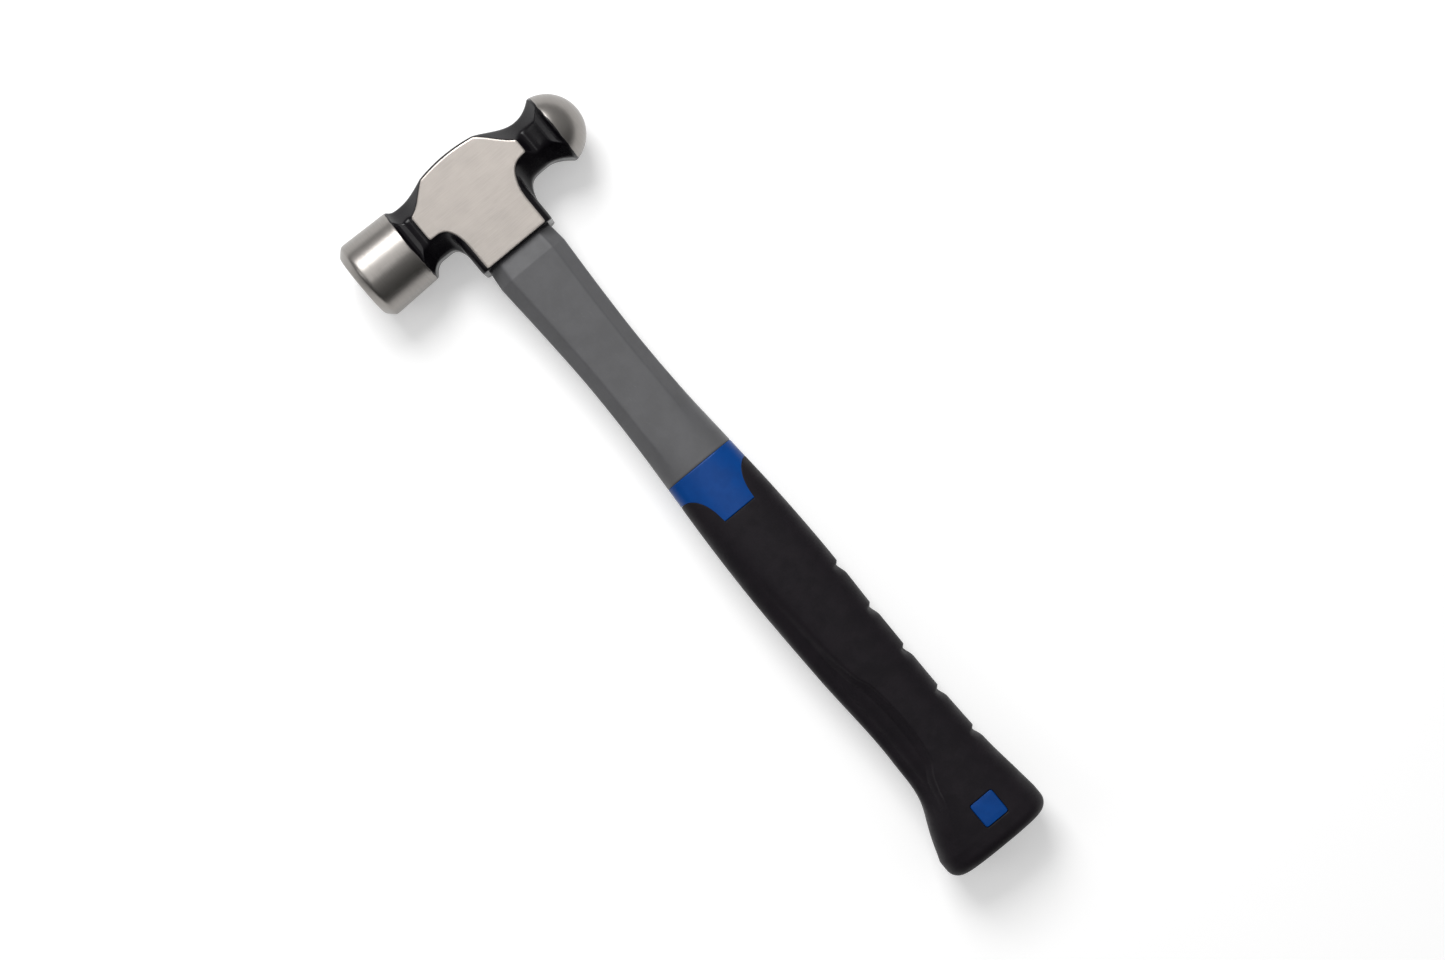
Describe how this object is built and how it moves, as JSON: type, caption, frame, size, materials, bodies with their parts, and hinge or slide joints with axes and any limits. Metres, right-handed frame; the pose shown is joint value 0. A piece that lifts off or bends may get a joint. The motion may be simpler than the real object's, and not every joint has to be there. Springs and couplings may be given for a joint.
{
  "type": "ball peen hammer",
  "caption": "Ball peen hammer lying on its side: steel head with round face, flat cheeks and ball, faceted grey handle, blue collar and black soft grip with flared butt.",
  "frame": {"origin": "bottom centre of the box round the hammer, which lies on its side; the poll touches z = 0", "axes": "+X along the head from the flat face to the ball, +Y up the handle to the head, +Z the thickness, out of the front cheek"},
  "size_m": [0.106, 0.335, 0.0332],
  "materials": {
    "head_steel": "brushed steel on the poll, ball and cheeks, gloss black enamel on the necks and edges",
    "fibreglass": "resin-bonded glass rod, sawn end",
    "jacket_plastic": "fine matt moulded grey",
    "gasket_rubber": "soft black",
    "cast_resin": "cast epoxy, slightly glossy",
    "sleeve_plastic": "satin blue moulding",
    "grip_rubber": "matt black soft grip with a fine texture"
  },
  "bodies": {
    "root": {"head": "head_steel", "handle_core": "fibreglass", "handle_jacket": "jacket_plastic", "eye_gasket": "gasket_rubber", "resin_bond": "cast_resin", "grip_sleeve": "sleeve_plastic", "grip_overmould": "grip_rubber"}
  },
  "joints": []
}
